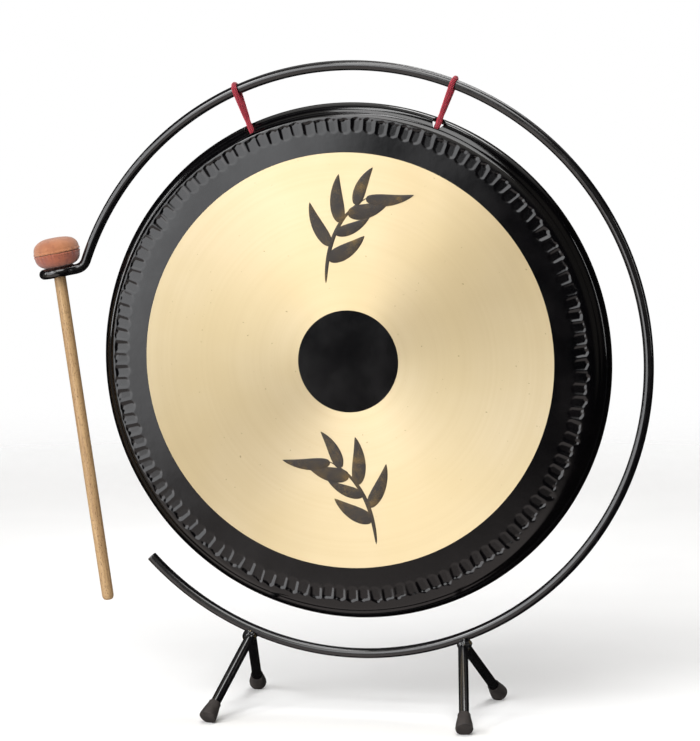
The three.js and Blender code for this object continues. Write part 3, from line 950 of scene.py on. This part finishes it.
def gathers(angle, height, below):
    """Leather gathered at the middle seam: folds that run away from the seam and die out."""
    seam = HEAD_HEIGHT / 2
    away = np.abs(height - seam)
    folds = wobble(angle, range(17, 30), 41, 0.0) + 0.7 * wobble(angle, range(38, 60), 43, 0.0)
    bunched = 0.5 + wobble(angle, range(2, 9), 59, 0.2)
    fade = np.exp(-away / (4.6 * MM if below else 1.6 * MM))
    lip = np.exp(-((away - 0.75 * MM) / (0.6 * MM)) ** 2) * np.maximum(bunched + folds, 0)
    long_waves = wobble(angle, range(2, 7), 47, 0.4)
    lift = (0.6 if below else 0.35) * folds * fade + 0.75 * lip + 0.25 * long_waves * fade
    return (lift - 0.35 * fade) * MM


def cover(name, below, material, node):
    """One half of the leather cover, its cut edge turned out at the seam."""
    seam = HEAD_HEIGHT / 2
    gap = SEAM_GAP / 2
    hole = STICK_R + 0.35 * MM
    if below:
        outside = head_outline(seam - gap, 0, 0, 46)
        inside = head_outline(seam - gap, COVER, COVER, 24)
        outside = np.concatenate([outside[outside[:, 0] > hole], [(hole, 0)]])
        inside = np.concatenate([inside[inside[:, 0] > hole], [(hole, COVER)]])
    else:
        outside = head_outline(seam + gap, HEAD_HEIGHT, 0, 46)
        inside = head_outline(seam + gap, HEAD_HEIGHT - COVER, COVER, 24)
    profile = np.concatenate([outside, inside[::-1]])
    angle = np.arange(240) * TURN / 240
    waist = wobble(angle, range(3, 15), 53, 0.3) * 0.5 * MM
    puckers = gathers(angle[None, :], profile[:, 1:], below)
    outer = (np.arange(len(profile)) < len(outside))[:, None]

    def shape(turn, r, z):
        near_seam = np.exp(-((z - seam) / (3 * MM)) ** 2)
        swell = puckers * np.where(outer, 1, 0.45) * smooth(r, 3.6 * MM, 8 * MM)
        return r + swell, z + near_seam * waist

    made = turned(name, profile, on_head, 240, shape=shape, looped=below, relief=puckers)
    finish_piece(made, "mallet", material, "mallet_leather", node)


# ---------------------------------------------------------------- studio

def camera():
    """A long lens a little to the right of the gong's front and a little above it."""
    azimuth, elevation, roll = (math.radians(value) for value in (13.268, 7.359, -0.206))
    target = Vector((6.52 * MM, 0, 206.68 * MM))
    back = Vector((math.sin(azimuth) * math.cos(elevation), -math.cos(azimuth) * math.cos(elevation),
                   math.sin(elevation)))
    level = Vector((math.cos(azimuth), math.sin(azimuth), 0))
    upright = back.cross(level)
    right = level * math.cos(roll) + upright * math.sin(roll)
    up = back.cross(right)
    data = bpy.data.cameras.new("view")
    data.lens = 198.3
    data.sensor_width = 36
    data.sensor_fit = "AUTO"
    data.clip_end = 100
    made = bpy.data.objects.new("view", data)
    bpy.context.scene.collection.objects.link(made)
    place = target + back * 2.4311
    made.matrix_world = Matrix([
        [right[0], up[0], back[0], place[0]],
        [right[1], up[1], back[1], place[1]],
        [right[2], up[2], back[2], place[2]],
        [0, 0, 0, 1],
    ])
    bpy.context.scene.camera = made


def softbox(name, place, aim, size, power, tint=(1, 1, 1)):
    data = bpy.data.lights.new(name, "AREA")
    data.shape = "RECTANGLE"
    data.size, data.size_y = size
    data.energy = power
    data.color = tint
    made = bpy.data.objects.new(name, data)
    bpy.context.scene.collection.objects.link(made)
    made.location = place
    made.rotation_euler = (Vector(aim) - Vector(place)).to_track_quat("-Z", "Y").to_euler()
    made.visible_camera = False


def studio_floor():
    """A pale floor that fades into the backdrop."""
    radius, sides = 1.6, 96
    angle = np.arange(sides) * TURN / sides
    rings = np.stack([
        np.stack([r * np.cos(angle), r * np.sin(angle), angle * 0 - depth], -1)
        for r, depth in ((0.3, 0), (0.8, 0), (radius, 0), (radius, 0.02))
    ])
    floor = skin("floor", rings)
    look = Look("pale_floor", Roughness=0.9, Specular_IOR_Level=0.1)
    where = look.place()
    far = look.node("VectorMath", {0: where}, output="Value", operation="LENGTH")
    mottle = look.noise(where, 6.0, 2.0)
    shade = look.mix(look.ranged(mottle, 0.3, 0.7), (0.9, 0.9, 0.9, 1), (0.93, 0.93, 0.93, 1))
    look.link(shade, "Base Color")
    look.link(look.ranged(far, 0.6, 1.4, 1.0, 0.0), "Alpha")
    floor.data.materials.append(look.material)
    floor.visible_glossy = False


# Soft lights on the room's walls: azimuth from -Y towards +X, elevation, where each starts and is whole
# (degrees from its middle), strength and tint.
GLOWS = [
    ("left_window", -37, 12, 29.6, 27, 3.3, (0.97, 0.98, 1.0)),
    ("table_top", -25, -44, 38.5, 32, 0.85, (1.0, 0.9, 0.86)),
    ("upper_wall", -15, 34, 34, 14, 0.8, (1.0, 0.97, 0.9)),
    ("right_wall", 36, 18, 34, 20, 0.12, (1.0, 0.93, 0.78)),
    ("left_wall", -68, -28, 34, 18, 0.25, (1.0, 0.93, 0.78)),
    ("back_wall", 180, 65, 45, 20, 0.7, (1.0, 0.98, 0.95)),
]
ROOM = (0.012, 0.011, 0.01)


def world():
    """A white backdrop behind a dim room with soft lights on its walls."""
    scene_world = bpy.data.worlds.new("studio")
    scene_world.use_nodes = True
    bpy.context.scene.world = scene_world
    tree = scene_world.node_tree
    tree.nodes.clear()

    def node(kind, inputs, **settings):
        made = tree.nodes.new("ShaderNode" + kind)
        for key, value in settings.items():
            setattr(made, key, value)
        for key, value in inputs.items():
            if isinstance(value, bpy.types.NodeSocket):
                tree.links.new(value, made.inputs[key])
            else:
                made.inputs[key].default_value = value
        return made

    way = node("TexCoord", {}).outputs["Generated"]
    light = ROOM
    for _, azimuth, elevation, starts, whole, strength, tint in GLOWS:
        azimuth, elevation = math.radians(azimuth), math.radians(elevation)
        middle = (math.sin(azimuth) * math.cos(elevation), -math.cos(azimuth) * math.cos(elevation),
                  math.sin(elevation))
        near = node("VectorMath", {0: way, 1: middle}, operation="DOT_PRODUCT").outputs["Value"]
        limits = {"Value": near, "From Min": math.cos(math.radians(starts)),
                  "From Max": math.cos(math.radians(whole)), "To Min": 0.0, "To Max": strength}
        glow = node("MapRange", limits, interpolation_type="SMOOTHSTEP").outputs[0]
        tinted = node("VectorMath", {0: tint, "Scale": glow}, operation="SCALE").outputs[0]
        light = node("VectorMath", {0: light, 1: tinted}).outputs[0]
    room = node("Background", {"Color": light, "Strength": 1.0}).outputs[0]
    backdrop = node("Background", {"Color": (1, 1, 1, 1), "Strength": 1.0}).outputs[0]
    seen = node("LightPath", {}).outputs["Is Camera Ray"]
    either = node("MixShader", {0: seen, 1: room, 2: backdrop}).outputs[0]
    node("OutputWorld", {"Surface": either})
    bpy.context.scene.view_settings.view_transform = "Standard"


def studio():
    middle = (0, 0, 0.2)
    softbox("key", (-1.6, -1.9, 1.9), middle, (0.7, 0.7), 11)
    softbox("front_overhead", (0.1, -1.1, 1.6), middle, (1.2, 1.0), 18)
    softbox("overhead", (0.1, -0.1, 1.9), middle, (1.3, 0.3), 9)
    softbox("left_strip", (-1.9, -0.5, 0.7), middle, (0.16, 1.2), 5)
    softbox("right_strip", (2.0, -0.2, 0.7), middle, (0.16, 1.2), 3)
    softbox("back", (0.4, 1.4, 2.2), middle, (1.2, 0.5), 12)
    studio_floor()
    world()


# ---------------------------------------------------------------- making

camera()

ENAMEL = enamel()
WELD = weld_enamel()
RUBBER = rubber()
BRASS = turned_brass()
LACQUER = lacquer()
OXIDE = oxide()
INK = brush_ink()
CORD = braid_red()
HANDLE_WOOD = pale_wood("handle_wood", MALLET_UP)
TOP_LEATHER = leather("tan_suede", color(164, 104, 65), color(148, 88, 53), color(114, 58, 34))
LOW_LEATHER = leather("red_brown_suede", color(150, 79, 50), color(127, 59, 42), color(80, 30, 31))

stand_rod()
for side in ("left", "right"):
    weld(side)
    for end in ("front", "rear"):
        leg(end, side)
        cap(end, side)

gong_sheet()
leaf_spray("upper_leaf_spray", (5.5, 82), 1, 7)
leaf_spray("lower_leaf_spray", (-4.2, -75), -1, 7)

for side, hole, loop in zip(("left", "right"), HOLES, LOOPS):
    hanger(side, hole, loop)

stick()
cover("head_upper_leather", False, TOP_LEATHER, "mallet_upper_cover")
cover("head_lower_leather", True, LOW_LEATHER, "mallet_lower_cover")
core = frame["nodes"]["mallet_head_core"]
core.data.materials.clear()
core.data.materials.append(pale_wood("core_wood", MALLET_UP))

studio()
